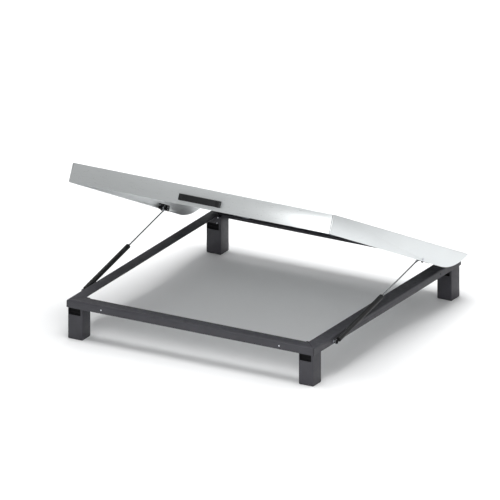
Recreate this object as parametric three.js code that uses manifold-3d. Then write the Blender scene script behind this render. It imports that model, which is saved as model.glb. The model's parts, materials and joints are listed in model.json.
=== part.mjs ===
// Lift-up bed base: a sheet-metal lid on a low frame of steel angle rails with four legs. The lid is
// hinged along its rear edge, opened by a handle on its front, and held open by a gas strut on each
// side. Millimetres, +Z up, +Y towards the hinges, +X to the right of someone who faces the handle.
// The origin is on the floor, under the middle of the frame. The lid is laid out lying flat on the
// frame and is then turned about the hinges into its open position.

import * as THREE from 'three';
import { mergeVertices } from 'three/addons/utils/BufferGeometryUtils.js';
import Module from 'manifold-3d';

const wasm = await Module();
wasm.setup();

// ---------------------------------------------------------------- driving dimensions

const deckWidth = 2000;          // lid, over the outer faces of the side fascias
const deckLength = 2000;         // lid, from its front face to its rear edge
const openAngle = 25.7;          // degrees, from lying on the frame to fully open
const fit = 0.3;                 // gap between two pieces that touch

// frame
const sideOverhang = 56.5;       // the lid stands out over each side rail by this much
const frontOverhang = 29;        // and over the front rail by this much
const rearSetback = 17;          // the lid's rear edge stops this far short of the rear rail's face
const railTop = 275;             // height of the rails' top faces
const railDrop = 54;             // height of a rail's upright web
const railFlange = 92;           // width of a rail's flat top
const railSheet = 4;
const railBend = 12;             // outer radius of the bend between top and web
const mitreGap = 3;            // joint line between two rails, measured along the rail

// legs and their corner braces
const legSize = 110;             // square tube, over its faces
const legWall = 3;
const legCorner = 4;             // outer corner radius
const glideHeight = 4;
const glidePlug = 20;            // length of the plug inside the leg
const windowTop = 57;            // the leg's access window starts this far below the rails' top
const windowHeight = 47;
const windowLeftMargin = 6;
const windowRightMargin = 15;
const braceSheet = 2.5;
const braceHeight = 34;
const braceArm = 300;            // from the corner to the end of each arm

// lid
const deckSheet = 2;
const lidDrop = 133;             // from the deck's top face to the fascias' lower edges
const fasciaSheet = 2;
const fasciaFlange = 25;         // width of the turned-in edge that carries the deck
const fasciaArc = 545;           // radius that lifts the side fascias' lower edges at the rear
const cornerReturn = 9;          // a side fascia wraps round the lid's front corner by this much
const cornerBend = 5;            // outer radius of that corner
const cornerSeam = 2.5;          // open seam between the return and the front fascia
const bearerWidth = 40;          // rectangular tubes under the deck
const bearerHeight = 25;
const bearerWall = 1.5;
const crossBearers = 3;          // between the front and the rear bearer
const bumperHeight = 6;          // rubber buffers under the front bearer
const bumperRadius = 15;
const bumperSpacing = 1200;

// hinges
const hingeInset = 8;            // hinge axis, forward of the rear rail's outer face
const knuckleRadius = 6;
const pinRadius = 3;
const leafThickness = 2.5;
const leafReach = 60;            // from the hinge axis to the leaf's front edge
const hingeLength = 120;
const knuckleLength = 40;        // the middle knuckle, which belongs to the lid
const hingeSpacing = 700;        // from one hinge to the next

// handle
const handleLength = 310;
const handleHeight = 45;
const handleDepth = 30;
const handleBelowTop = 85;       // from the deck's top face to the handle's middle
const mountLength = 29;
const gripThickness = 10;

// gas struts
const strutGap = 24;           // from a side rail's outer face to the strut's axis
const lowerAnchorInset = 267;  // lower ball, behind the front rail's outer face
const lowerAnchorDrop = 33;    // lower ball, below the rails' top
const upperAnchorReach = 622;    // upper ball, forward of the hinge axis when the lid is down
const upperAnchorDrop = 121;     // upper ball, below the deck's top face
const ballRadius = 5;
const neckRadius = 3.5;
const shankRadius = 4;           // threaded part of a ball stud
const socketRadius = 15;
const socketHalfWidth = 8;
const socketShankRadius = 6.5;
const socketShank = 28;          // from a ball's centre to the end of its socket's shank
const tubeRadius = 17;
const tubeWall = 1.5;
const guideWall = 0.6;           // least wall of the guide bush in the tube's mouth
const tubeEnd = 619;             // from the lower ball to the mouth of the tube
const rodRadius = 5;
const rodInsert = 90;            // length of rod inside the tube when the lid is open
const pistonLength = 14;
const guideLength = 22;
const plateThickness = 4;        // upper anchor plate, on the inside of the side fascia
const plateRise = 40;
const plateBelowAnchor = 14;
const plateForward = 48;       // that plate's reach ahead of the ball stud
const plateRearward = 104;     // and behind it
const lobeRadius = 22;           // round lobe of that plate about the ball stud
const bossHeight = 6;
const bossRadius = 13;

// ---------------------------------------------------------------- sizes that follow from them

const radians = Math.PI / 180;
const frameWidth = deckWidth - 2 * sideOverhang;
const frameLength = deckLength - frontOverhang + rearSetback;
const railBottom = railTop - railDrop;
const hinge = { y: frameLength / 2 - hingeInset, z: railTop + knuckleRadius + fit };
const bearerBottom = railTop + bumperHeight + fit;
const deckTop = bearerBottom + bearerHeight + fit + deckSheet;
const lidRear = frameLength / 2 - rearSetback;
const lidFront = lidRear - deckLength;
const strutX = frameWidth / 2 + strutGap;
const legInset = railSheet + braceSheet + 2 * fit;
const lowerAnchor = { y: -frameLength / 2 + lowerAnchorInset, z: railTop - lowerAnchorDrop };
const upperAnchorClosed = { y: hinge.y - upperAnchorReach, z: deckTop - upperAnchorDrop };
const strutOpen = strutAt(openAngle);
const strutClosed = strutAt(0);

// Position of the upper ball, and length and slope of the strut, with the lid at an angle.
function strutAt(lidAngle) {
  const turn = -lidAngle * radians;
  const forward = upperAnchorClosed.y - hinge.y;
  const up = upperAnchorClosed.z - hinge.z;
  const y = hinge.y + forward * Math.cos(turn) - up * Math.sin(turn);
  const z = hinge.z + forward * Math.sin(turn) + up * Math.cos(turn);
  const run = y - lowerAnchor.y;
  const rise = z - lowerAnchor.z;
  return { y, z, length: Math.hypot(run, rise), slope: Math.atan2(rise, run) };
}

// The tube turns in proportion to the lid, and is in line with the rod at both ends of the travel.
// Between them the rod's upper ball is beside the tube's axis by at most this much.
function largestDrift() {
  const steps = 60;
  let largest = 0;
  for (let i = 0; i <= steps; i += 1) {
    const share = i / steps;
    const strut = strutAt(openAngle * share);
    const slope = strutClosed.slope + (strutOpen.slope - strutClosed.slope) * share;
    largest = Math.max(largest, Math.abs(strut.length * Math.sin(strut.slope - slope)));
  }
  return largest;
}

const studSides = 16;            // flats round a ball stud
const ballSteps = 5;             // and along its ball
const drift = largestDrift();
const guideBore = rodRadius + drift + fit;
const tubeOuter = Math.max(tubeRadius, guideBore + guideWall + fit + tubeWall);
const tubeBore = tubeOuter - tubeWall;
const pistonRadius = tubeBore - drift - 2 * fit;

// ---------------------------------------------------------------- finishes

function finish(name, color, roughness, metalness) {
  const material = new THREE.MeshStandardMaterial({ color, roughness, metalness });
  material.name = name;
  return material;
}

const finishes = {
  powderCoat: () => finish('powder_coat', 0x4f4f55, 0.55, 0.2),
  satinSheet: () => finish('satin_sheet', 0xc4c8c8, 0.35, 0.9),
  bearerPaint: () => finish('bearer_paint', 0x4a4a4f, 0.6, 0.2),
  blackPlastic: () => finish('black_plastic', 0x202124, 0.5, 0),
  blackPaint: () => finish('black_paint', 0x161718, 0.35, 0.3),
  rubber: () => finish('rubber', 0x151515, 0.85, 0),
  zinc: () => finish('zinc', 0xb9bcbf, 0.35, 0.95),
  steel: () => finish('polished_steel', 0xc8cacc, 0.2, 1),
};

// ---------------------------------------------------------------- solids

function toSolid(geometry) {
  const plain = geometry.clone();
  plain.deleteAttribute('normal');
  plain.deleteAttribute('uv');
  const merged = mergeVertices(plain);
  const corners = merged.index.array;
  const kept = [];
  for (let i = 0; i < corners.length; i += 3) {
    const [a, b, c] = [corners[i], corners[i + 1], corners[i + 2]];
    if (a !== b && b !== c && c !== a) kept.push(a, b, c);
  }
  return new wasm.Manifold(new wasm.Mesh({
    numProp: 3,
    vertProperties: new Float32Array(merged.attributes.position.array),
    triVerts: new Uint32Array(kept),
  }));
}

function toGeometry(solid) {
  const { vertProperties, triVerts } = solid.getMesh();
  const geometry = new THREE.BufferGeometry();
  geometry.setAttribute('position', new THREE.BufferAttribute(vertProperties, 3));
  geometry.setIndex(new THREE.BufferAttribute(triVerts, 1));
  geometry.computeVertexNormals();
  return geometry;
}

function joined(...geometries) {
  return toGeometry(geometries.map(toSolid).reduce((whole, piece) => whole.add(piece)));
}

function cut(geometry, ...tools) {
  return toGeometry(tools.map(toSolid).reduce((whole, tool) => whole.subtract(tool), toSolid(geometry)));
}

function common(a, b) {
  return toGeometry(toSolid(a).intersect(toSolid(b)));
}

// Box between two limits on each axis.
function box(x0, x1, y0, y1, z0, z1) {
  const geometry = new THREE.BoxGeometry(x1 - x0, y1 - y0, z1 - z0);
  return geometry.translate((x0 + x1) / 2, (y0 + y1) / 2, (z0 + z1) / 2);
}

function polygon(points) {
  return new THREE.Shape(points.map(([x, y]) => new THREE.Vector2(x, y)));
}

function prism(shape, depth, curveSegments = 5) {
  return new THREE.ExtrudeGeometry(shape, { depth, bevelEnabled: false, curveSegments });
}

// Turns a prism so that its outline lies in the YZ plane and its depth runs along +X from x0.
function alongX(geometry, x0) {
  const basis = new THREE.Matrix4().makeBasis(
    new THREE.Vector3(0, 1, 0),
    new THREE.Vector3(0, 0, 1),
    new THREE.Vector3(1, 0, 0),
  );
  return geometry.applyMatrix4(basis).translate(x0, 0, 0);
}

// Rectangle with round corners, centred at (x, y).
function roundedRectangle(x, y, width, height, radius) {
  const [w, h] = [width / 2, height / 2];
  const shape = new THREE.Shape();
  shape.moveTo(x - w + radius, y - h);
  shape.lineTo(x + w - radius, y - h);
  shape.absarc(x + w - radius, y - h + radius, radius, -Math.PI / 2, 0);
  shape.lineTo(x + w, y + h - radius);
  shape.absarc(x + w - radius, y + h - radius, radius, 0, Math.PI / 2);
  shape.lineTo(x - w + radius, y + h);
  shape.absarc(x - w + radius, y + h - radius, radius, Math.PI / 2, Math.PI);
  shape.lineTo(x - w, y - h + radius);
  shape.absarc(x - w + radius, y - h + radius, radius, Math.PI, 1.5 * Math.PI);
  return shape;
}

// Turned piece: profile points are (radius, distance along the axis), and the axis is +X or +Y.
function turned(profile, axis, segments = 20) {
  const points = profile.map(([radius, along]) => new THREE.Vector2(radius, along));
  const geometry = new THREE.LatheGeometry(points, segments);
  return axis === 'x' ? geometry.rotateZ(-Math.PI / 2) : geometry;
}

function roundBar(radius, from, to, axis, segments = 20) {
  return turned([[0, from], [radius, from], [radius, to], [0, to]], axis, segments);
}

// Profile points on a circle about (0, centre), between two angles from the axis's negative end.
function arcProfile(centre, radius, fromAngle, toAngle, steps) {
  const points = [];
  for (let i = 0; i <= steps; i += 1) {
    const angle = (fromAngle + ((toAngle - fromAngle) * i) / steps) * radians;
    const reach = i === steps && toAngle === 180 ? 0 : radius * Math.sin(angle);
    points.push([reach, centre - radius * Math.cos(angle)]);
  }
  return points;
}

function piece(name, geometry, material) {
  const mesh = new THREE.Mesh(geometry, material());
  mesh.name = name;
  return mesh;
}

// ---------------------------------------------------------------- frame

// Bent angle in section: distance inward from the outer face, and height.
function railOutline() {
  const innerBend = railBend - railSheet;
  const shape = new THREE.Shape();
  shape.moveTo(0, railBottom);
  shape.lineTo(railSheet, railBottom);
  shape.lineTo(railSheet, railTop - railBend);
  shape.absarc(railBend, railTop - railBend, innerBend, Math.PI, Math.PI / 2, true);
  shape.lineTo(railFlange, railTop - railSheet);
  shape.lineTo(railFlange, railTop);
  shape.lineTo(railBend, railTop);
  shape.absarc(railBend, railTop - railBend, railBend, Math.PI / 2, Math.PI);
  return shape;
}

// Front rail's shape for any side: it runs along X with its outer face at y = -reach.
function railGeometry(run, reach) {
  const bar = alongX(prism(railOutline(), run), -run / 2);
  const half = run / 2 - mitreGap / 2;
  const slack = 1;
  const plan = polygon([
    [-half - slack, -slack],
    [half + slack, -slack],
    [half - railFlange - slack, railFlange + slack],
    [-half + railFlange + slack, railFlange + slack],
  ]);
  const mitred = common(bar, prism(plan, railTop + slack));
  return mitred.translate(0, -reach, 0);
}

// Height of the free space under the bend, at a distance inward from the rail's outer face.
function underRail(inward) {
  const innerBend = railBend - railSheet;
  const across = Math.max(railBend - inward, 0);
  return railTop - railBend + Math.sqrt(innerBend * innerBend - across * across);
}

function strutHole(x0, x1) {
  return roundBar(shankRadius + fit, x0, x1, 'x').translate(0, lowerAnchor.y, lowerAnchor.z);
}

function rails() {
  const group = new THREE.Group();
  const sides = [
    ['front_rail', 0, frameWidth, frameLength / 2],
    ['right_rail', 90, frameLength, frameWidth / 2],
    ['rear_rail', 180, frameWidth, frameLength / 2],
    ['left_rail', 270, frameLength, frameWidth / 2],
  ];
  for (const [name, turn, run, reach] of sides) {
    const geometry = railGeometry(run, reach).rotateZ(turn * radians);
    const drilled = reach === frameWidth / 2
      ? cut(geometry, strutHole(-frameWidth, frameWidth))
      : geometry;
    group.add(piece(name, drilled, finishes.powderCoat));
  }
  return group;
}

const corners = [
  ['front_left', -1, -1],
  ['front_right', 1, -1],
  ['rear_left', -1, 1],
  ['rear_right', 1, 1],
];

// Square tube with an access window in its front face. All four legs are the same part.
function legGeometry() {
  const outline = roundedRectangle(0, 0, legSize, legSize, legCorner);
  const bore = legSize - 2 * legWall;
  outline.holes.push(roundedRectangle(0, 0, bore, bore, legCorner - legWall));
  const bottom = glideHeight + fit;
  const top = underRail(legInset) - fit;
  const tube = prism(outline, top - bottom, 3).translate(0, 0, bottom);
  const windowBase = railTop - windowTop - windowHeight;
  const opening = box(
    -legSize / 2 + windowLeftMargin,
    legSize / 2 - windowRightMargin,
    -legSize / 2 - legWall,
    -legSize / 2 + 2 * legWall,
    windowBase,
    windowBase + windowHeight,
  );
  return cut(tube, opening);
}

// Plastic foot pushed into the tube's lower end.
function glideGeometry() {
  const lip = 2;
  const foot = legSize - 2 * lip;
  const plug = legSize - 2 * legWall - 2 * fit;
  const sole = prism(roundedRectangle(0, 0, foot, foot, legCorner), glideHeight, 3);
  const insert = prism(roundedRectangle(0, 0, plug, plug, legCorner - legWall), glidePlug, 3);
  return joined(sole, insert);
}

// Bent strip that ties two rails at a corner and carries the leg between its arms.
function braceGeometry(xSide, ySide) {
  const cornerX = frameWidth / 2 - railSheet - fit;
  const cornerY = frameLength / 2 - railSheet - fit;
  const plan = [
    [0, 0],
    [braceArm, 0],
    [braceArm, braceSheet],
    [braceSheet, braceSheet],
    [braceSheet, braceArm],
    [0, braceArm],
  ];
  const outline = polygon(plan.map(([a, b]) => [xSide * (cornerX - a), ySide * (cornerY - b)]));
  const top = railTop - railBend - fit;
  const strip = prism(outline, braceHeight).translate(0, 0, top - braceHeight);
  return ySide < 0 ? cut(strip, strutHole(-frameWidth, frameWidth)) : strip;
}

function legsAndBraces() {
  const group = new THREE.Group();
  for (const [corner, xSide, ySide] of corners) {
    const x = xSide * (frameWidth / 2 - legInset - legSize / 2);
    const y = ySide * (frameLength / 2 - legInset - legSize / 2);
    const leg = piece(`leg_${corner}`, legGeometry(), finishes.powderCoat);
    const glide = piece(`glide_${corner}`, glideGeometry(), finishes.blackPlastic);
    leg.position.set(x, y, 0);
    glide.position.set(x, y, 0);
    const brace = piece(`brace_${corner}`, braceGeometry(xSide, ySide), finishes.powderCoat);
    group.add(leg, glide, brace);
  }
  return group;
}

// ---------------------------------------------------------------- hinges

const hingePlaces = [['left', -1], ['centre', 0], ['right', 1]];
const knuckleBore = pinRadius + fit;
const knuckleRelief = knuckleRadius + 2 * fit;

function knuckle(halfLength) {
  return roundBar(knuckleRadius, -halfLength, halfLength, 'x', 24).translate(0, hinge.y, hinge.z);
}

function bore() {
  return roundBar(knuckleBore, -hingeLength, hingeLength, 'x', 24).translate(0, hinge.y, hinge.z);
}

// Space cleared around the knuckles between two places along the hinge.
function knuckleSpace(x0, x1) {
  return box(
    x0,
    x1,
    hinge.y - knuckleRelief,
    hinge.y + knuckleRelief,
    hinge.z - 2 * knuckleRadius,
    hinge.z + 2 * knuckleRadius,
  );
}

function leafPlate(bottom) {
  const half = hingeLength / 2;
  return box(-half, half, hinge.y - leafReach, hinge.y, bottom, bottom + leafThickness);
}

// Leaf on the rear rail: two end knuckles with room for the lid's knuckle between them.
function fixedLeafGeometry() {
  const half = knuckleLength / 2 + fit;
  const whole = joined(leafPlate(railTop + fit), knuckle(hingeLength / 2));
  return cut(whole, knuckleSpace(-half, half), bore());
}

// Leaf under the lid's rear bearer, with the middle knuckle.
function movingLeafGeometry() {
  const half = knuckleLength / 2;
  const plate = cut(
    leafPlate(bearerBottom - fit - leafThickness),
    knuckleSpace(-hingeLength, -half),
    knuckleSpace(half, hingeLength),
  );
  return cut(joined(plate, knuckle(half)), bore());
}

function hingePinGeometry() {
  const half = hingeLength / 2;
  return roundBar(pinRadius, -half, half, 'x', 16).translate(0, hinge.y, hinge.z);
}

function hingePieces(label, geometryOf, material) {
  const group = new THREE.Group();
  for (const [place, step] of hingePlaces) {
    const mesh = piece(`${label}_${place}`, geometryOf(), material);
    mesh.position.x = step * hingeSpacing;
    group.add(mesh);
  }
  return group;
}

// ---------------------------------------------------------------- lid, lying flat

function deck() {
  const w = deckWidth / 2;
  const panel = box(-w, w, lidFront, lidRear, deckTop - deckSheet, deckTop);
  return piece('deck_panel', panel, finishes.satinSheet);
}

const fasciaTop = deckTop - deckSheet - fit;
const fasciaBottom = deckTop - lidDrop;

// Front fascia: upright sheet between the side fascias' returns, with a turned-in edge under the deck.
function frontFascia() {
  const half = deckWidth / 2 - cornerReturn - cornerSeam;
  const face = box(-half, half, lidFront, lidFront + fasciaSheet, fasciaBottom, fasciaTop);
  const back = lidFront + fasciaFlange;
  const flange = box(-half, half, lidFront, back, fasciaTop - fasciaSheet, fasciaTop);
  return piece('front_fascia', joined(face, flange), finishes.satinSheet);
}

// Side fascia in side view: straight below, then an arc that rises to the top at the rear.
function sideFasciaOutline() {
  const rise = fasciaTop - fasciaSheet - fasciaBottom;
  const sweep = Math.acos(1 - rise / fasciaArc);
  const arcStart = lidRear - fasciaArc * Math.sin(sweep);
  const shape = new THREE.Shape();
  shape.moveTo(lidFront, fasciaTop);
  shape.lineTo(lidFront, fasciaBottom);
  shape.lineTo(arcStart, fasciaBottom);
  shape.absarc(arcStart, fasciaBottom + fasciaArc, fasciaArc, -Math.PI / 2, -Math.PI / 2 + sweep);
  shape.lineTo(lidRear, fasciaTop);
  return shape;
}

// The same fascia in plan: it runs back along the side from its return on the lid's front.
function sideFasciaPlan() {
  const w = deckWidth / 2;
  const innerBend = cornerBend - fasciaSheet;
  const shape = new THREE.Shape();
  shape.moveTo(w - cornerReturn, lidFront);
  shape.lineTo(w - cornerBend, lidFront);
  shape.absarc(w - cornerBend, lidFront + cornerBend, cornerBend, -Math.PI / 2, 0);
  shape.lineTo(w, lidRear);
  shape.lineTo(w - fasciaSheet, lidRear);
  shape.lineTo(w - fasciaSheet, lidFront + cornerBend);
  shape.absarc(w - cornerBend, lidFront + cornerBend, innerBend, 0, -Math.PI / 2, true);
  shape.lineTo(w - cornerReturn, lidFront + fasciaSheet);
  return shape;
}

function anchorHole() {
  const hole = roundBar(shankRadius + fit, 0, deckWidth, 'x');
  return hole.translate(0, upperAnchorClosed.y, upperAnchorClosed.z);
}

// Right-hand side fascia; the left one is its mirror image.
function sideFasciaGeometry() {
  const w = deckWidth / 2;
  const bent = prism(sideFasciaPlan(), deckTop);
  const outline = alongX(prism(sideFasciaOutline(), 2 * cornerReturn, 24), w - 1.5 * cornerReturn);
  const face = common(bent, outline);
  const flangeFront = lidFront + fasciaFlange + fit;
  const flange = box(w - fasciaFlange, w, flangeFront, lidRear, fasciaTop - fasciaSheet, fasciaTop);
  return cut(joined(face, flange), anchorHole());
}

// Mirror image in the middle plane, with the faces turned back outwards.
function mirrored(geometry) {
  const copy = toGeometry(toSolid(geometry)).scale(-1, 1, 1);
  const index = copy.index.array;
  for (let i = 0; i < index.length; i += 3) {
    [index[i + 1], index[i + 2]] = [index[i + 2], index[i + 1]];
  }
  copy.computeVertexNormals();
  return copy;
}

function sidePair(label, geometry, material) {
  const group = new THREE.Group();
  group.add(piece(`${label}_left`, mirrored(geometry), material));
  group.add(piece(`${label}_right`, geometry, material));
  return group;
}

// Open-ended rectangular tube along X.
function bearerGeometry(length) {
  const outer = box(-length / 2, length / 2, -bearerWidth / 2, bearerWidth / 2, 0, bearerHeight);
  const inner = box(
    -length,
    length,
    -bearerWidth / 2 + bearerWall,
    bearerWidth / 2 - bearerWall,
    bearerWall,
    bearerHeight - bearerWall,
  );
  return cut(outer, inner);
}

// Bearers under the deck: two along the sides, and cross bearers between them.
function bearers() {
  const group = new THREE.Group();
  const middle = railFlange / 2;
  const sideX = frameWidth / 2 - middle;
  const frontY = -frameLength / 2 + middle;
  const rearY = hinge.y - leafReach + bearerWidth / 2;
  const crossLength = 2 * sideX - bearerWidth - 2 * fit;
  const sideLength = rearY - frontY + bearerWidth;
  for (const [side, sign] of [['left', -1], ['right', 1]]) {
    const mesh = piece(`side_bearer_${side}`, bearerGeometry(sideLength), finishes.bearerPaint);
    mesh.rotation.z = Math.PI / 2;
    mesh.position.set(sign * sideX, (frontY + rearY) / 2, bearerBottom);
    group.add(mesh);
  }
  for (let i = 0; i <= crossBearers + 1; i += 1) {
    const share = i / (crossBearers + 1);
    const name = i === 0 ? 'front_bearer' : `cross_bearer_${i}`;
    const label = i === crossBearers + 1 ? 'rear_bearer' : name;
    const mesh = piece(label, bearerGeometry(crossLength), finishes.bearerPaint);
    mesh.position.set(0, frontY + (rearY - frontY) * share, bearerBottom);
    group.add(mesh);
  }
  return group;
}

// Rubber buffers under the front bearer, which rest on the front rail when the lid is down.
function bumpers() {
  const group = new THREE.Group();
  const taper = 0.8;
  for (const [side, sign] of [['left', -1], ['right', 1]]) {
    const profile = [
      [0, railTop + fit],
      [bumperRadius * taper, railTop + fit],
      [bumperRadius, bearerBottom - fit],
      [0, bearerBottom - fit],
    ];
    const mesh = piece(`bumper_${side}`, turned(profile, 'y').rotateX(Math.PI / 2), finishes.rubber);
    mesh.position.set((sign * bumperSpacing) / 2, -frameLength / 2 + railFlange / 2, 0);
    group.add(mesh);
  }
  return group;
}

// Bar handle: two mounting blocks with a flat grip between their outer ends.
function handle() {
  const group = new THREE.Group();
  const middle = deckTop - handleBelowTop;
  const back = lidFront - fit;
  const front = back - handleDepth;
  const gripLength = handleLength - 2 * mountLength - 2 * fit;
  const radius = 4;
  const gripY = front + gripThickness / 2;
  const gripOutline = roundedRectangle(gripY, middle, gripThickness, handleHeight, radius);
  const mountY = (front + back) / 2;
  const mountOutline = roundedRectangle(mountY, middle, handleDepth, handleHeight, radius);
  const grip = alongX(prism(gripOutline, gripLength, 4), -gripLength / 2);
  const mount = alongX(prism(mountOutline, mountLength, 4), handleLength / 2 - mountLength);
  group.add(piece('handle_grip', grip, finishes.blackPlastic));
  group.add(sidePair('handle_mount', mount, finishes.blackPlastic));
  return group;
}

// Plate with a boss on the inner face of the right-hand fascia; the ball stud passes through it.
function anchorPlateGeometry() {
  const outer = deckWidth / 2 - fasciaSheet - fit;
  const inner = outer - plateThickness;
  const y = upperAnchorClosed.y + (plateRearward - plateForward) / 2;
  const bottom = upperAnchorClosed.z - plateBelowAnchor;
  const length = plateForward + plateRearward;
  const outline = roundedRectangle(y, bottom + plateRise / 2, length, plateRise, 10);
  const plate = alongX(prism(outline, plateThickness), inner);
  const lobe = roundBar(lobeRadius, inner, outer, 'x', 32);
  lobe.translate(0, upperAnchorClosed.y, upperAnchorClosed.z);
  const boss = roundBar(bossRadius, inner - bossHeight, inner + plateThickness / 2, 'x', 24);
  boss.translate(0, upperAnchorClosed.y, upperAnchorClosed.z);
  return cut(joined(plate, lobe, boss), anchorHole());
}

// Ball stud through the plate and the fascia, with a domed head outside.
function upperStudGeometry() {
  const bossFace = deckWidth / 2 - fasciaSheet - fit - plateThickness - bossHeight - strutX;
  const headSeat = deckWidth / 2 + fit - strutX;
  const headRadius = 8.5;
  const headHeight = 4.5;
  const collarRadius = 7;
  const collarLength = 3;
  const neckAngle = 180 - Math.asin(neckRadius / ballRadius) / radians;
  const profile = [
    ...arcProfile(0, ballRadius, 0, neckAngle, ballSteps),
    [neckRadius, bossFace - fit - collarLength],
    [collarRadius, bossFace - fit - collarLength],
    [collarRadius, bossFace - fit],
    [shankRadius, bossFace - fit],
    [shankRadius, headSeat],
    [headRadius, headSeat],
    [headRadius, headSeat + headHeight / 3],
    [headRadius * 0.6, headSeat + headHeight * 0.85],
    [0, headSeat + headHeight],
  ];
  const stud = turned(profile, 'x', studSides);
  return stud.translate(strutX, upperAnchorClosed.y, upperAnchorClosed.z);
}

function lidFlat() {
  const group = new THREE.Group();
  group.add(deck(), frontFascia());
  group.add(sidePair('side_fascia', sideFasciaGeometry(), finishes.satinSheet));
  group.add(bearers(), bumpers(), handle());
  group.add(sidePair('anchor_plate', anchorPlateGeometry(), finishes.blackPaint));
  group.add(sidePair('upper_ball_stud', upperStudGeometry(), finishes.zinc));
  group.add(hingePieces('hinge_moving_leaf', movingLeafGeometry, finishes.zinc));
  return group;
}

// The flat lid turned about the hinge axis.
function lid() {
  const turning = new THREE.Group();
  turning.position.set(0, hinge.y, hinge.z);
  turning.rotation.x = -openAngle * radians;
  const flat = lidFlat();
  flat.position.set(0, -hinge.y, -hinge.z);
  turning.add(flat);
  return turning;
}

// ---------------------------------------------------------------- gas struts

// Ball stud on the right-hand rail, through the web and the corner brace.
function lowerStudGeometry() {
  const threadEnd = -(railSheet + braceSheet + 2 * fit + 12);
  const flangeRadius = 8;
  const flangeLength = 5;
  const neckAngle = Math.asin(neckRadius / ballRadius) / radians;
  const profile = [
    [0, threadEnd],
    [shankRadius, threadEnd],
    [shankRadius, fit],
    [flangeRadius, fit],
    [flangeRadius, fit + flangeLength],
    [neckRadius, fit + flangeLength],
    ...arcProfile(strutGap, ballRadius, neckAngle, 180, ballSteps),
  ];
  const stud = turned(profile, 'x', studSides);
  return stud.translate(frameWidth / 2, lowerAnchor.y, lowerAnchor.z);
}

// Ball socket: a barrel across the strut and a shank along it. The neck of the stud leaves on
// the side that neckSide gives, and the shank points along the strut as shankSide gives.
function socketGeometry(neckSide, shankSide) {
  const chamfer = 2;
  const barrel = turned([
    [0, -socketHalfWidth],
    [socketRadius - chamfer, -socketHalfWidth],
    [socketRadius, -socketHalfWidth + chamfer],
    [socketRadius, socketHalfWidth - chamfer],
    [socketRadius - chamfer, socketHalfWidth],
    [0, socketHalfWidth],
  ], 'x');
  const [from, to] = shankSide > 0 ? [0, socketShank] : [-socketShank, 0];
  const shank = roundBar(socketShankRadius, from, to, 'y');
  const cavity = new THREE.SphereGeometry(ballRadius + fit, studSides, ballSteps + 3);
  const mouth = roundBar(neckRadius + 3 * fit, 0, 2 * socketHalfWidth, 'x');
  if (neckSide < 0) mouth.rotateY(Math.PI);
  return cut(joined(barrel, shank), cavity, mouth);
}

// One strut along local +Y from the lower ball at the local origin.
function strut(side, sign) {
  const group = new THREE.Group();
  const length = strutOpen.length;
  const tubeStart = socketShank + fit;
  const tubeBase = 6;
  const tube = turned([
    [0, tubeStart],
    [tubeOuter, tubeStart],
    [tubeOuter, tubeEnd],
    [tubeBore, tubeEnd],
    [tubeBore, tubeStart + tubeBase],
    [0, tubeStart + tubeBase],
  ], 'y', 28);
  const guideStart = tubeEnd - guideLength;
  const guide = turned([
    [guideBore, guideStart],
    [tubeBore - fit, guideStart],
    [tubeBore - fit, tubeEnd - fit],
    [guideBore, tubeEnd - fit],
    [guideBore, guideStart],
  ], 'y', 28);
  const rodStart = tubeEnd - rodInsert;
  const rod = roundBar(rodRadius, rodStart, length - socketShank - fit, 'y');
  const pistonEnd = rodStart - fit;
  const piston = roundBar(pistonRadius, pistonEnd - pistonLength, pistonEnd, 'y');
  const upperSocket = socketGeometry(sign, -1).translate(0, length, 0);
  group.add(
    piece(`strut_lower_socket_${side}`, socketGeometry(-sign, 1), finishes.blackPlastic),
    piece(`strut_tube_${side}`, tube, finishes.blackPaint),
    piece(`strut_guide_${side}`, guide, finishes.blackPlastic),
    piece(`strut_rod_${side}`, rod, finishes.steel),
    piece(`strut_piston_${side}`, piston, finishes.steel),
    piece(`strut_upper_socket_${side}`, upperSocket, finishes.blackPlastic),
  );
  group.position.set(sign * strutX, lowerAnchor.y, lowerAnchor.z);
  group.rotation.x = strutOpen.slope;
  return group;
}

// ---------------------------------------------------------------- whole object

const bedBase = new THREE.Group();
bedBase.add(rails(), legsAndBraces());
bedBase.add(sidePair('lower_ball_stud', lowerStudGeometry(), finishes.zinc));
bedBase.add(hingePieces('hinge_fixed_leaf', fixedLeafGeometry, finishes.zinc));
bedBase.add(hingePieces('hinge_pin', hingePinGeometry, finishes.steel));
bedBase.add(lid(), strut('left', -1), strut('right', 1));

export default bedBase;
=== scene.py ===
# %% [markdown]
# # Lift-up bed base
# A low frame of bent steel angle stands on four square legs. A sheet-metal lid as large as the mattress
# is hinged along its rear edge, and two gas struts hold it open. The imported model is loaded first: it has
# the true sizes and the joints. Each piece is then given the fine shape and the finish of the real one.

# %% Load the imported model
import json
import math

import bmesh
import bpy
from mathutils import Matrix, Vector

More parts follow.
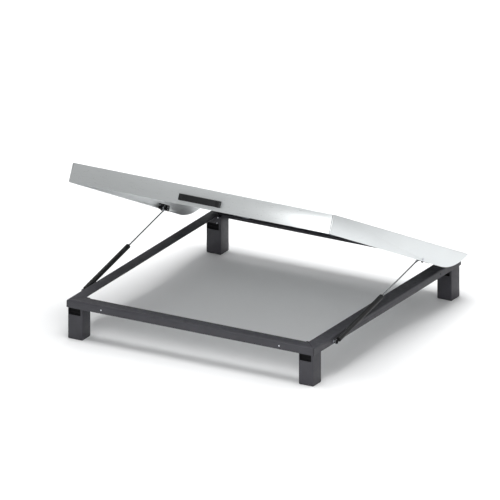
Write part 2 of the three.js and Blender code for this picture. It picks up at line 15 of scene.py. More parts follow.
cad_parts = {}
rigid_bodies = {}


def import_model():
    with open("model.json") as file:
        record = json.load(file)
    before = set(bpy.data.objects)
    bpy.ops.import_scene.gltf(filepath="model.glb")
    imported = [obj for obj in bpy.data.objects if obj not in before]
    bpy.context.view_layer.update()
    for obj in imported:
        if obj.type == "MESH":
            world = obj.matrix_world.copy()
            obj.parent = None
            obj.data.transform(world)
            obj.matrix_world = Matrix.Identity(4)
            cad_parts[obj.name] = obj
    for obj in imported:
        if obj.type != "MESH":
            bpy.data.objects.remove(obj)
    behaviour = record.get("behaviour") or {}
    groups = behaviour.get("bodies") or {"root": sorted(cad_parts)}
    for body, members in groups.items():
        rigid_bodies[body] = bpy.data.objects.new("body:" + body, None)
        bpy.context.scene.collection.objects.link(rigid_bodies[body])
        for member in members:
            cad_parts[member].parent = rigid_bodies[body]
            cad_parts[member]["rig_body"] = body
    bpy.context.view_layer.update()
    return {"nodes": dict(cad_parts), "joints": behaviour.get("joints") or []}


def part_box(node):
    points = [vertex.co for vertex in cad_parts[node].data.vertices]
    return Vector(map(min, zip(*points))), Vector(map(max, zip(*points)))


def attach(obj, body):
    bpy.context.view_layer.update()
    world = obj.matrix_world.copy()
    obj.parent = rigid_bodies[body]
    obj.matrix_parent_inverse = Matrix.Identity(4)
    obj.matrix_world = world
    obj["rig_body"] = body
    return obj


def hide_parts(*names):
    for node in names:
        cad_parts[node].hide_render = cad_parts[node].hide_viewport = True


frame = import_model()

millimetre = 0.001
scene = bpy.context.scene
joints = {joint["name"]: joint for joint in frame["joints"]}

# %% [markdown]
# ## Two frames to work in
# Most of the lid's pieces are square to the lid and not to the room. They are easiest to place with the
# lid lying flat, and a matrix then lifts them to the open position. Each strut has a frame of its own
# too, with its Z axis along the strut. Both come from the joints, so they follow the model's sizes.

# %% The lid's frame and the struts' frames
hinge = Vector(joints["lid_hinge"]["pos_m"])
open_angle = math.radians(joints["lid_hinge"]["range_deg"][1])
turn = Matrix.Rotation(-open_angle, 4, "X")
lift = Matrix.Translation(hinge) @ turn @ Matrix.Translation(-hinge)
lay_flat = lift.inverted()
sides = {"left": -1, "right": 1}


def strut_frame(side):
    """Matrix from the strut's own frame to the room: origin on the lower ball, +Z to the upper one."""
    lower = Vector(joints[f"{side}_cylinder_swivel"]["pos_m"])
    upper = Vector(joints[f"{side}_rod_swivel"]["pos_m"])
    along = (upper - lower).normalized()
    across = Vector((1, 0, 0))
    matrix = Matrix((across, along.cross(across), along)).transposed().to_4x4()
    return Matrix.Translation(lower) @ matrix, (upper - lower).length


def extent(node, into=Matrix()):
    """Lowest and highest corner of a CAD node in another frame, such as the lid's."""
    points = [into @ vertex.co for vertex in frame["nodes"][node].data.vertices]
    low = Vector(min(point[axis] for point in points) for axis in range(3))
    high = Vector(max(point[axis] for point in points) for axis in range(3))
    return low, high


deck_low, deck_high = extent("deck_panel", lay_flat)
print("deck lying flat, mm", [round(value * 1000, 1) for value in (*deck_low, *deck_high)])

# %% [markdown]
# ## Camera, floor and light
# The view is close to a parallel projection, from the front right and about twenty degrees above the
# floor. An orthographic camera gives that exactly. A large soft light hangs straight overhead, so that
# the lid's shadow falls inside the frame. A card in front and a weak one beside the lid give the satin
# sheet something to reflect: they are what makes the front of the lid brighten towards the right. A
# fourth light only whitens the floor far behind the bed.

# %% Camera
view_azimuth = math.radians(29.57)
view_elevation = math.radians(20.57)
view_width = 3.3225
view_distance = 8.0
aim_right = -0.0917
aim_up = 0.4452


def camera_axes(azimuth, elevation):
    right = Vector((math.cos(azimuth), math.sin(azimuth), 0))
    up = Vector((
        -math.sin(azimuth) * math.sin(elevation),
        math.cos(azimuth) * math.sin(elevation),
        math.cos(elevation),
    ))
    return right, up, right.cross(up)


def add_camera():
    right, up, back = camera_axes(view_azimuth, view_elevation)
    aim = right * aim_right + up * aim_up
    data = bpy.data.cameras.new("camera")
    data.type = "ORTHO"
    data.ortho_scale = view_width
    camera = bpy.data.objects.new("camera", data)
    camera.matrix_world = Matrix.Translation(aim + back * view_distance) @ Matrix(
        (right, up, back)
    ).transposed().to_4x4()
    scene.collection.objects.link(camera)
    scene.camera = camera
    return camera


camera = add_camera()
print("camera at", [round(value, 2) for value in camera.matrix_world.translation])


# %% Floor
def link(node_tree, source, target):
    node_tree.links.new(source, target)


def add_floor(half_width=30.0):
    mesh = bpy.data.meshes.new("floor")
    corners = [(-1, -1), (1, -1), (1, 1), (-1, 1)]
    mesh.from_pydata([(x * half_width, y * half_width, 0) for x, y in corners], [], [(0, 1, 2, 3)])
    floor = bpy.data.objects.new("floor", mesh)
    scene.collection.objects.link(floor)
    material = bpy.data.materials.new("floor_white")
    material.use_nodes = True
    shader = material.node_tree.nodes["Principled BSDF"]
    shader.inputs["Base Color"].default_value = (0.86, 0.865, 0.87, 1)
    shader.inputs["Roughness"].default_value = 0.8
    shader.inputs["Specular IOR Level"].default_value = 0.1
    mesh.materials.append(material)
    return floor


add_floor()


# %% Light
def add_area_light(name, place, target, size, power, spread_angle=180):
    data = bpy.data.lights.new(name, "AREA")
    data.shape = "RECTANGLE"
    data.size, data.size_y = size
    data.energy = power
    data.spread = math.radians(spread_angle)
    light = bpy.data.objects.new(name, data)
    aim = Vector(target) - Vector(place)
    light.rotation_euler = aim.to_track_quat("-Z", "Y").to_euler()
    light.location = place
    scene.collection.objects.link(light)
    return light


def set_world(color, strength):
    world = bpy.data.worlds.new("studio")
    world.use_nodes = True
    background = world.node_tree.nodes["Background"]
    background.inputs["Color"].default_value = (*color, 1)
    background.inputs["Strength"].default_value = strength
    scene.world = world


set_world((1.0, 1.0, 1.0), 0.40)
add_area_light("key", (0.0, 0.1, 6.0), (0.0, 0.1, 0.0), (4.8, 4.8), 440)
add_area_light("front_card", (1.6, -4.2, 2.4), (0.9, -0.8, 1.1), (3.2, 2.4), 85)
add_area_light("side_card", (3.2, 1.0, 1.6), (1.0, -0.9, 1.1), (2.2, 1.6), 6)
add_area_light("far_floor", (-3.4, 5.6, 3.6), (-3.4, 5.6, 0.0), (6.5, 5.0), 250, 110)
scene.view_settings.view_transform = "Standard"

# %% [markdown]
# ## Finishes
# Every finish is a small node tree on Object coordinates, so that the grain has the same size on every
# piece and stays put when a piece moves. A fine noise gives the micro-relief, a broad one varies the
# tone a little, and the shader's own sockets hold what is uniform. One function lays out the shared
# part, and each finish then adds what is its own.


# %% Shared parts of a finish
def start_finish(name, roughness, metallic=0.0, specular=0.5):
    material = bpy.data.materials.new(name)
    material.use_nodes = True
    tree = material.node_tree
    shader = tree.nodes["Principled BSDF"]
    shader.inputs["Roughness"].default_value = roughness
    shader.inputs["Metallic"].default_value = metallic
    shader.inputs["Specular IOR Level"].default_value = specular
    return material, tree, shader


def object_noise(tree, scale, detail=2.0, stretch=(1, 1, 1)):
    """Noise in metres on Object coordinates; a stretch over 1 squeezes it along that axis."""
    coordinates = tree.nodes.new("ShaderNodeTexCoord")
    mapping = tree.nodes.new("ShaderNodeMapping")
    mapping.inputs["Scale"].default_value = stretch
    noise = tree.nodes.new("ShaderNodeTexNoise")
    noise.inputs["Scale"].default_value = scale
    noise.inputs["Detail"].default_value = detail
    link(tree, coordinates.outputs["Object"], mapping.inputs["Vector"])
    link(tree, mapping.outputs["Vector"], noise.inputs["Vector"])
    return noise.outputs["Fac"]


def mottle(tree, shader, color, wander, noise, low=0.35, high=0.65):
    """Base colour from a darker to a lighter version of a colour, as the noise goes from low to high."""
    tones = tree.nodes.new("ShaderNodeValToRGB")
    ends = zip(tones.color_ramp.elements, (low, high), (1 - wander, 1 + wander))
    for element, position, factor in ends:
        element.position = position
        element.color = (*(channel * factor for channel in color), 1)
    link(tree, noise, tones.inputs["Fac"])
    link(tree, tones.outputs["Color"], shader.inputs["Base Color"])


def spread(tree, factor, low, high):
    """The factor's middle range stretched to values from low to high."""
    node = tree.nodes.new("ShaderNodeMapRange")
    node.inputs["From Min"].default_value = 0.3
    node.inputs["From Max"].default_value = 0.7
    node.inputs["To Min"].default_value = low
    node.inputs["To Max"].default_value = high
    link(tree, factor, node.inputs["Value"])
    return node.outputs["Result"]


def relief(tree, shader, height, depth, strength=1.0):
    bump = tree.nodes.new("ShaderNodeBump")
    bump.inputs["Distance"].default_value = depth
    bump.inputs["Strength"].default_value = strength
    link(tree, height, bump.inputs["Height"])
    link(tree, bump.outputs["Normal"], shader.inputs["Normal"])


# %% [markdown]
# ### Powder coat, paint and lacquer
# Powder coat melts into a film with a fine orange-peel skin, so its relief is a shallow noise about a
# millimetre across, and its gloss wanders a little. Sprayed paint has a shallower skin, and the gas
# struts' lacquer is the smoothest and glossiest of the three. They share one recipe.


# %% Coated metals
def coated(name, color, roughness, grain, depth, wander=0.06, tone=0.08):
    material, tree, shader = start_finish(name, roughness, specular=0.36)
    mottle(tree, shader, color, tone, object_noise(tree, 6, 4))
    scuff = object_noise(tree, 38, 6)
    link(tree, spread(tree, scuff, roughness - wander, roughness + wander), shader.inputs["Roughness"])
    relief(tree, shader, object_noise(tree, grain, 2), depth)
    return material


powder_coat = coated("powder_coat", (0.039, 0.0385, 0.0455), 0.5, 900, 0.00006)
bearer_paint = coated("bearer_paint", (0.06, 0.061, 0.066), 0.55, 500, 0.00004)
black_lacquer = coated("black_lacquer", (0.006, 0.006, 0.0065), 0.42, 250, 0.00002, wander=0.05)
print("coats", powder_coat.name, bearer_paint.name, black_lacquer.name)

# %% [markdown]
# ### Satin sheet
# The lid is pale sheet with a satin surface: it was rolled and then finished with a fine belt, which
# leaves faint lines along its length. The noise is squeezed across the lines and drawn out along them,
# and it drives both the gloss and a very shallow relief.


# %% Satin sheet
def satin_sheet_finish():
    color = (0.695, 0.72, 0.725)
    material, tree, shader = start_finish("satin_sheet", 0.3, metallic=0.85)
    mottle(tree, shader, color, 0.025, object_noise(tree, 1.6, 3))
    lines = object_noise(tree, 14, 5, stretch=(1, 60, 60))
    link(tree, spread(tree, lines, 0.27, 0.36), shader.inputs["Roughness"])
    relief(tree, shader, lines, 0.00003, 0.6)
    return material


satin_sheet = satin_sheet_finish()


# %% [markdown]
# ### Plastic, rubber, zinc and ground steel
# Moulded black plastic has a spark-eroded grain. Rubber is duller and rougher. Zinc plating is bright
# but cloudy, with a cold tint that changes from place to place. The piston rods are ground and hard
# chromed, so they only have fine marks round them.


# %% Plastic and rubber
def moulded(name, color, roughness, grain, depth):
    material, tree, shader = start_finish(name, roughness, specular=0.3)
    mottle(tree, shader, color, 0.12, object_noise(tree, 20, 3))
    link(tree, spread(tree, object_noise(tree, 120, 4), roughness - 0.05, roughness + 0.08),
         shader.inputs["Roughness"])
    relief(tree, shader, object_noise(tree, grain, 1), depth)
    return material


black_plastic = moulded("black_plastic", (0.005, 0.0055, 0.006), 0.5, 1400, 0.00005)
# The darkest black, with little shine, is the sockets' own black plastic. In the leg windows and the mitre
# gaps it is also painted shade: it stands in for the shade inside them.
black_plastic_and_painted_shade = moulded("black_plastic_and_painted_shade", (0.002, 0.002, 0.0025), 0.62, 1400, 0.00005)
black_plastic_and_painted_shade.node_tree.nodes["Principled BSDF"].inputs["Specular IOR Level"].default_value = 0.12
rubber = moulded("rubber", (0.014, 0.014, 0.014), 0.8, 700, 0.00008)


# %% Bare metals
def bare_metal(name, color, roughness, cloud, stretch=(1, 1, 1)):
    material, tree, shader = start_finish(name, roughness, metallic=1.0)
    mottle(tree, shader, color, 0.1, object_noise(tree, cloud, 4), 0.3, 0.7)
    marks = object_noise(tree, 300, 4, stretch)
    link(tree, spread(tree, marks, roughness - 0.07, roughness + 0.1), shader.inputs["Roughness"])
    relief(tree, shader, marks, 0.00001)
    return material


zinc = bare_metal("zinc", (0.72, 0.74, 0.78), 0.32, 90)
ground_steel = bare_metal("ground_steel", (0.30, 0.305, 0.315), 0.24, 40, stretch=(1, 6, 6))
print("finishes", len(bpy.data.materials))

# %% [markdown]
# ## Sheet and tube work
# The rails, legs, braces, fascias, bearers and plates already have their true shape. What a plain solid
# lacks is the small radius that shearing, bending and coating leave on every edge, and that radius is
# what catches the light. So each of these nodes is copied, its loose triangles are merged back into
# clean faces, and its sharp edges are rounded. The copy then stands for the node and moves with it.

# %% Rounding a copy of a node
sharp_edge = math.radians(35)
merge_distance = 2e-6


def kept_piece(name, mesh, body, smooth_below):
    """Links a finished mesh as a piece that rides on a body; only its sharp edges are shaded sharp."""
    mesh.shade_smooth()
    mesh.set_sharp_from_angle(angle=math.radians(smooth_below))
    piece = bpy.data.objects.new(name, mesh)
    scene.collection.objects.link(piece)
    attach(piece, body)
    return piece


def add_piece(name, mesh_data, material, body, replaced=(), smooth_below=30):
    """Links a mesh as a finished piece that rides on a body and stands for some CAD nodes."""
    mesh = bpy.data.meshes.new(name)
    bmesh.ops.recalc_face_normals(mesh_data, faces=mesh_data.faces)
    mesh_data.to_mesh(mesh)
    mesh_data.free()
    mesh.materials.append(material)
    piece = kept_piece(name, mesh, body, smooth_below)
    if replaced:
        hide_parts(*replaced)
    return piece


def merged_copy(node):
    copy = bmesh.new()
    copy.from_mesh(frame["nodes"][node].data)
    bmesh.ops.remove_doubles(copy, verts=copy.verts, dist=merge_distance)
    bmesh.ops.dissolve_limit(
        copy, angle_limit=math.radians(0.5), verts=copy.verts, edges=copy.edges
    )
    return copy


def round_edges(mesh_data, radius, segments):
    edges = [
        edge for edge in mesh_data.edges
        if edge.is_manifold and edge.calc_face_angle(0) > sharp_edge
    ]
    bmesh.ops.bevel(
        mesh_data, geom=edges, offset=radius, segments=segments, profile=0.5,
        affect="EDGES", clamp_overlap=True,
    )


def body_of(node):
    return frame["nodes"][node]["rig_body"]


def rounded_piece(node, radius_mm, material, segments=2):
    copy = merged_copy(node)
    round_edges(copy, radius_mm * millimetre, segments)
    return add_piece(f"{node}_finished", copy, material, body_of(node), [node])


# %% Rails, legs, braces and glides
corners = ["front_left", "front_right", "rear_left", "rear_right"]
rail_edge = 0.8
leg_edge = 0.6
frame_pieces = []
for name in ("front_rail", "right_rail", "rear_rail", "left_rail"):
    frame_pieces.append(rounded_piece(name, rail_edge, powder_coat))
for corner in corners:
    frame_pieces.append(rounded_piece(f"leg_{corner}", leg_edge, powder_coat))
    frame_pieces.append(rounded_piece(f"brace_{corner}", leg_edge, powder_coat))
    frame_pieces.append(rounded_piece(f"glide_{corner}", 1.0, black_plastic))
print("frame pieces", len(frame_pieces))

# %% The lid's sheets and bearers
sheet_edge = 0.5
lid_sheets = ["deck_panel", "front_fascia", "side_fascia_left", "side_fascia_right"]
for name in lid_sheets:
    rounded_piece(name, sheet_edge, satin_sheet)
bearers = sorted(name for name in frame["nodes"] if "bearer" in name)
for name in bearers:
    rounded_piece(name, sheet_edge, bearer_paint)
print("bearers", bearers)

# %% Handle, anchor plates, hinges and buffers
handle_edge = 1.6
for name in ("handle_grip", "handle_mount_left", "handle_mount_right"):
    rounded_piece(name, handle_edge, black_plastic, segments=3)
for side in sides:
    rounded_piece(f"anchor_plate_{side}", 0.7, black_lacquer)
    rounded_piece(f"bumper_{side}", 0.8, rubber)
hinge_places = ["left", "centre", "right"]
for place in hinge_places:
    rounded_piece(f"hinge_fixed_leaf_{place}", 0.4, zinc)
    rounded_piece(f"hinge_moving_leaf_{place}", 0.4, zinc)
    rounded_piece(f"hinge_pin_{place}", 0.4, ground_steel)

# %% [markdown]
# ## Gas struts
# A gas strut is turned work: a drawn tube with a groove rolled in near its mouth to hold the guide, a
# rolled-in lip, a rubber wiper round the rod, and a ball socket screwed on each end. Each piece is a
# profile turned round the strut's axis. A turning function takes (radius, place along the axis) pairs in
# millimetres, and short arcs in the profile make the rounded corners.


# %% Turning
def prism_ring(mesh_data, radius, along, sides):
    ring = []
    for step in range(sides):
        angle = 2 * math.pi * step / sides
        ring.append(mesh_data.verts.new((radius * math.cos(angle), radius * math.sin(angle), along)))
    return ring


def turned(profile, matrix, segments=40):
    """Closed solid of revolution round local Z. The profile runs from axis to axis, in millimetres."""
    mesh_data = bmesh.new()
    rings = []
    for radius, along in profile:
        if radius < 1e-6:
            rings.append([mesh_data.verts.new((0, 0, along))])
            continue
        rings.append(prism_ring(mesh_data, radius, along, segments))
    for first, second in zip(rings, rings[1:]):
        join_rings(mesh_data, first, second, segments)
    if len(rings[0]) > 1:
        join_rings(mesh_data, rings[-1], rings[0], segments)
    mesh_data.transform(matrix @ Matrix.Scale(millimetre, 4))
    return mesh_data


def turned_node(node, profile, matrix, material, segments=40):
    """Turned piece that stands for a CAD node and moves with its body."""
    shape = turned(profile, matrix, segments)
    return add_piece(f"{node}_finished", shape, material, body_of(node), [node])


def join_rings(mesh_data, first, second, segments):
    for step in range(segments):
        after = (step + 1) % segments
        corners_here = [first[step % len(first)], first[after % len(first)],
                        second[after % len(second)], second[step % len(second)]]
        unique = list(dict.fromkeys(corners_here))
        if len(unique) > 2:
            mesh_data.faces.new(unique)


def corner_arc(radius, along, size, start, end, steps=4):
    """Profile points on an arc about (radius, along), between two angles in degrees."""
    points = []
    for step in range(steps + 1):
        angle = math.radians(start + (end - start) * step / steps)
        points.append((radius + size * math.cos(angle), along + size * math.sin(angle)))
    return points


def span_along(node, matrix):
    """Where a node starts and ends along a strut, and its radius, in millimetres."""
    low, high = extent(node, matrix.inverted())
    return low.z / millimetre, high.z / millimetre, (high.x - low.x) / 2 / millimetre


# %% Tube, guide and wiper
lip_radius = 2.0
groove_half = 2.6
groove_from_mouth = 17
wiper_height = 4


def tube_profile(start, mouth, radius, wall):
    bore = radius - wall
    groove = mouth - groove_from_mouth
    return [
        (0, start),
        *corner_arc(radius - 3, start + 3, 3, -90, 0),
        (radius, groove - groove_half - 1),
        *corner_arc(radius + 0.6, groove, groove_half, 220, 140, 6),
        (radius, groove + groove_half + 1),
        *corner_arc(radius - lip_radius, mouth - lip_radius, lip_radius, 0, 90),
        (bore - 1.2, mouth),
        (bore - 1.2, mouth - 1.2),
        (bore - 0.6, mouth - 2.4),
        (bore - 0.6, start + 6),
        (0, start + 6),
    ]


def wiper_profile(mouth, rod_radius, bore):
    outer = bore - 1.5
    return [
        (rod_radius + 0.2, mouth - wiper_height),
        (outer, mouth - wiper_height),
        (outer, mouth - 0.6),
        *corner_arc(rod_radius + 2.6, mouth - 0.4, 1.4, 0, 90, 3),
        (rod_radius + 1.0, mouth + 2.2),
        (rod_radius + 0.2, mouth + 1.8),
    ]


def guide_profile(mouth, rod_radius, bore):
    top = mouth - wiper_height - 0.4
    return [
        (rod_radius + 0.3, top - 14),
        (bore - 1.2, top - 14),
        (bore - 1.2, top),
        (rod_radius + 0.3, top),
    ]


def make_tube(side):
    matrix, _ = strut_frame(side)
    start, mouth, radius = span_along(f"strut_tube_{side}", matrix)
    rod_radius = span_along(f"strut_rod_{side}", matrix)[2]
    wall = 1.5
    bore = radius - wall
    turned_node(f"strut_tube_{side}", tube_profile(start, mouth, radius, wall), matrix,
                black_lacquer)
    add_piece(f"strut_wiper_{side}", turned(wiper_profile(mouth, rod_radius, bore), matrix),
              rubber, f"{side}_cylinder")
    turned_node(f"strut_guide_{side}", guide_profile(mouth, rod_radius, bore), matrix,
                black_plastic)
    print(side, "tube from", round(start, 1), "to", round(mouth, 1), "radius", round(radius, 2), "mm")


for side in sides:
    make_tube(side)


# %% Rod, piston and jam nut
def make_rod(side):
    matrix, _ = strut_frame(side)
    start, end, radius = span_along(f"strut_rod_{side}", matrix)
    profile = [(0, start), *corner_arc(radius - 0.8, start + 0.8, 0.8, -90, 0), (radius, end), (0, end)]
    turned_node(f"strut_rod_{side}", profile, matrix, ground_steel)
    low, high, piston = span_along(f"strut_piston_{side}", matrix)
    ring = [(0, low), (piston - 0.6, low), (piston, low + 0.6), (piston, low + 5), (piston - 0.9, low + 5.4),
            (piston - 0.9, low + 8.6), (piston, low + 9), (piston, high), (0, high)]
    turned_node(f"strut_piston_{side}", ring, matrix, zinc)


for side in sides:
    make_rod(side)

# %% [markdown]
# ### Ball sockets and studs
# The socket is a moulded barrel across the strut, closed at one end, with a reinforced neck that
# screws on to the strut. A wire clip lies in a groove round the barrel and keeps the ball in. The stud's
# ball sits in the barrel, and its shank goes through the rail or through the anchor plate and the lid.


# %% Sockets
def across(point, sign):
    """Frame at a joint with local Z outwards, away from the middle of the bed."""
    z_axis = Vector((sign, 0, 0))
    x_axis = Vector((0, 1, 0))
    matrix = Matrix((x_axis, z_axis.cross(x_axis), z_axis)).transposed().to_4x4()
    return Matrix.Translation(point) @ matrix


def barrel_profile(radius, half_width, mouth):
    """Closed at -half_width; open at +half_width, where the stud's neck goes in."""
    cavity = 5.3
    return [
        (0, -half_width),
        *corner_arc(radius - 2.5, -half_width + 2.5, 2.5, -90, 0),
        (radius, -1.5),
        (radius - 0.9, -0.9),
        (radius - 0.9, 0.9),
        (radius, 1.5),
        *corner_arc(radius - 2.0, half_width - 2.0, 2.0, 0, 90),
        (mouth + 1.2, half_width),
        (mouth, half_width - 1.2),
        *corner_arc(0, 0, cavity, math.degrees(math.acos(mouth / cavity)), -90, 8)[:-1],
        (0, -cavity),
    ]


def neck_profile(radius, length, barrel):
    flare = 1.35
    return [
        (0, barrel * 0.5),
        (radius * flare, barrel * 0.5),
        (radius * flare, barrel + 1),
        (radius, barrel + 5),
        (radius, length - 5),
        (radius + 0.9, length - 4.4),
        (radius + 0.9, length - 0.8),
        (radius + 0.2, length),
        (0, length),
    ]


def ring_profile(radius, thickness):
    return corner_arc(radius, 0, thickness / 2, 0, 315, 7)


def make_socket(side, sign, node, pivot, towards, open_side):
    """A socket at a pivot, its neck along the strut, its mouth to the side that the stud comes from."""
    matrix, _ = strut_frame(side)
    body = body_of(node)
    low, high = extent(node, (Matrix.Translation(pivot) @ matrix.to_3x3().to_4x4()).inverted())
    radius = (high.y - low.y) / 2 / millimetre
    half_width = (high.x - low.x) / 2 / millimetre
    length = max(high.z, -low.z) / millimetre
    barrel_frame = across(pivot, open_side * sign)
    neck_frame = Matrix.Translation(pivot) @ matrix.to_3x3().to_4x4()
    if towards < 0:
        neck_frame = neck_frame @ Matrix.Rotation(math.pi, 4, "X")
    turned_node(node, barrel_profile(radius, half_width, 4.4), barrel_frame, black_plastic_and_painted_shade)
    add_piece(f"{node}_neck", turned(neck_profile(6.5, length, radius), neck_frame),
              black_plastic_and_painted_shade, body)
    add_piece(f"{node}_clip", turned(ring_profile(radius - 0.2, 1.3), barrel_frame, 48),
              zinc, body)
    print(node, "barrel", round(radius, 1), "half width", round(half_width, 1), "neck to", round(length, 1))


for side, sign in sides.items():
    lower_pivot = Vector(joints[f"{side}_cylinder_swivel"]["pos_m"])
    upper_pivot = Vector(joints[f"{side}_rod_swivel"]["pos_m"])
    make_socket(side, sign, f"strut_lower_socket_{side}", lower_pivot, 1, -1)
    make_socket(side, sign, f"strut_upper_socket_{side}", upper_pivot, -1, 1)


# %% Ball studs
def ball_and_neck(ball, neck):
    """Profile from the ball's pole to its neck, along local +Z."""
    last = math.degrees(math.acos(neck / ball))
    return [(0, -ball), *corner_arc(0, 0, ball, -90, last, 12)[1:]]


def lower_stud_profile(gap):
    """Ball, neck, collar against the rail, and shank through the rail and the brace."""
    return [
        *ball_and_neck(5, 3.2),
        (3.2, gap - 5.6),
        (6.5, gap - 5.3),
        (8, gap - 4.6),
        (8, gap - 0.6),
        (7.6, gap - 0.3),
        (4, gap - 0.3),
        (4, gap + 18.4),
        (3.4, gap + 19.1),
        (0, gap + 19.1),
    ]


def upper_stud_profile(boss, seat):
    """Ball, neck, collar against the plate's boss, shank, and outside the fascia a domed
    head with a flange and a drive hole."""
    dome = 4.5
    head = 8.5
    flange = 12.5
    socket = 2.6
    return [
        *ball_and_neck(5, 3.2),
        (3.2, boss - 3.4),
        (6.6, boss - 3.3),
        (7, boss - 2.8),
        (7, boss - 0.3),
        (4, boss - 0.3),
        (4, seat),
        (flange - 0.3, seat),
        (flange, seat + 0.3),
        (flange, seat + 1.0),
        (flange - 0.3, seat + 1.3),
        (head, seat + 1.4),
        (head * 0.93, seat + dome * 0.6),
        (head * 0.74, seat + dome * 0.85),
        (head * 0.42, seat + dome),
        (socket, seat + dome),
        (socket, seat + dome - 2.2),
        (0, seat + dome - 2.4),
    ]


def make_studs(side, sign):
    lower = Vector(joints[f"{side}_cylinder_swivel"]["pos_m"])
    upper = Vector(joints[f"{side}_rod_swivel"]["pos_m"])
    rail_low, rail_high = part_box(f"{side}_rail")
    rail_face = max(abs(rail_low.x), abs(rail_high.x))
    gap = (abs(lower.x) - rail_face) / millimetre
    turned_node(f"lower_ball_stud_{side}", lower_stud_profile(gap), across(lower, -sign), zinc, 32)
    plate_low, plate_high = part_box(f"anchor_plate_{side}")
    boss = (min(abs(plate_low.x), abs(plate_high.x)) - abs(upper.x)) / millimetre
    seat = (deck_high.x - abs(upper.x)) / millimetre + 0.3
    turned_node(f"upper_ball_stud_{side}", upper_stud_profile(boss, seat), across(upper, sign),
                zinc, 32)
    print(side, "gap to rail", round(gap, 1), "boss", round(boss, 1), "head seat", round(seat, 1), "mm")


for side, sign in sides.items():
    make_studs(side, sign)

# %% [markdown]
# ## Screws, bolts, nuts and rivets
# The bed is held together by about ninety fasteners of five kinds. Each kind is modelled once, on the
# origin with its seat at zero and its head towards +Z. A node tree then puts a copy on every point of a
# small point mesh, turns it to face the way that the point's own attribute says, and gives it a random
# turn about its axis, because no two screws stop at the same angle. Copying by hand would work too, but
# the tree keeps the places and the shape of the head apart, so either can change alone.

# %% Turned and six-sided heads
def capped(mesh_data, rings):
    """Joins each ring to the next and closes both ends with a face."""
    for first, second in zip(rings, rings[1:]):
        join_rings(mesh_data, first, second, len(first))
    mesh_data.faces.new(list(reversed(rings[0])))
    mesh_data.faces.new(rings[-1])
    return mesh_data


def stacked(rings):
    """Closed solid from (radius, along, sides) rings in millimetres, all with the same number of sides."""
    mesh_data = bmesh.new()
    made = [prism_ring(mesh_data, radius, along, sides) for radius, along, sides in rings]
    return capped(mesh_data, made)


def head_object(name, mesh_data):
    """A head that only serves as the model for the copies. It is removed once they are made."""
    mesh_data.transform(Matrix.Scale(millimetre, 4))
    bmesh.ops.recalc_face_normals(mesh_data, faces=mesh_data.faces)
    mesh = bpy.data.meshes.new(name)
    mesh_data.to_mesh(mesh)
    mesh_data.free()
    head = bpy.data.objects.new(name, mesh)
    scene.collection.objects.link(head)
    return head


def hexagon_ring(mesh_data, flat, along, sides):
    """Six-sided loop with its flats at a distance from the axis, drawn with more points than six."""
    ring = []
    for step in range(sides):
        angle = 2 * math.pi * step / sides
        within = (angle + math.pi / 6) % (math.pi / 3) - math.pi / 6
        reach = flat / math.cos(within)
        ring.append(mesh_data.verts.new((reach * math.cos(angle), reach * math.sin(angle), along)))
    return ring


def dome_head(radius, height, socket, depth, steps=4, sides=24):
    """Button head with a six-sided socket, whose wall has as many points as the dome's rings."""
    rings = [(radius, 0)]
    crown = math.radians(68)
    for step in range(1, steps + 1):
        angle = crown * step / steps
        rings.append((radius * math.cos(angle), height * math.sin(angle) / math.sin(crown)))
    mesh_data = bmesh.new()
    made = [prism_ring(mesh_data, ring_radius, along, sides) for ring_radius, along in rings]
    made += [hexagon_ring(mesh_data, socket, along, sides) for along in (height, height - depth)]
    return capped(mesh_data, made)


def hexagon_head(across_flats, height, washer_radius, washer=1.2):
    """Six-sided bolt head on a washer, with the chamfer that turning leaves on the corners."""
    corner = across_flats / math.sqrt(3)
    mesh_data = bmesh.new()
    rounds = [(washer_radius - 0.2, 0, 24), (washer_radius, 0.2, 24), (washer_radius, washer - 0.2, 24),
              (washer_radius - 0.2, washer, 24)]
    for rings in (rounds, [(corner, washer + 0.02, 6), (corner, washer + height - 0.7, 6),
                           (corner - 0.9, washer + height, 6)]):
        part = stacked(rings)
        block = bpy.data.meshes.new("block")
        part.to_mesh(block)
        part.free()
        mesh_data.from_mesh(block)
        bpy.data.meshes.remove(block)
    return mesh_data


def nut_body(across_flats, height, bore, sides=24):
    """Six-sided ring with a round bore, so that the thread's end can stand out of it."""
    mesh_data = bmesh.new()
    flat = across_flats / 2
    loops = []
    chamfer = 0.97
    section = [(True, 0, chamfer), (True, 0.4, 1), (True, height - 0.4, 1), (True, height, chamfer),
               (False, height, 1), (False, 0, 1)]
    for outer, along, shrink in section:
        if outer:
            loops.append(hexagon_ring(mesh_data, flat * shrink, along, sides))
        else:
            loops.append(prism_ring(mesh_data, bore, along, sides))
    for first, second in zip(loops, loops[1:] + loops[:1]):
        join_rings(mesh_data, first, second, sides)
    return mesh_data


def rivet_head(radius, height, stem):
    """Blind rivet: a low dome with the broken-off end of its stem in the middle."""
    rings = [(radius, 0, 12), (radius * 0.92, height * 0.5, 12), (radius * 0.6, height * 0.9, 12),
             (stem, height, 12), (stem, height - 0.4, 12)]
    return stacked(rings)


heads = {
    "small_dome": head_object("small_dome_head", dome_head(5.2, 2.8, 1.8, 1.6)),
    "bolt": head_object("bolt_head", hexagon_head(10, 4, 8.5)),
    "sunk": head_object("sunk_head", dome_head(4.4, 0.22, 1.7, 0.2, steps=2)),
    "nut": head_object("nut_head", nut_body(13, 6.5, 4.15)),
    "rivet": head_object("rivet_head", rivet_head(3.4, 1.3, 1.1)),
}
print("heads", {kind: len(head.data.polygons) for kind, head in heads.items()})

# %% A tree that sets a head on every point
def new_tree(name, inputs):
    """Geometry node group with a mesh in, a mesh out and the named inputs; returns its two end nodes."""
    tree = bpy.data.node_groups.new(name, "GeometryNodeTree")
    tree.interface.new_socket("Geometry", in_out="INPUT", socket_type="NodeSocketGeometry")
    for label, kind in inputs:
        tree.interface.new_socket(label, in_out="INPUT", socket_type=kind)
    tree.interface.new_socket("Geometry", in_out="OUTPUT", socket_type="NodeSocketGeometry")
    return tree, tree.nodes.new("NodeGroupInput"), tree.nodes.new("NodeGroupOutput")


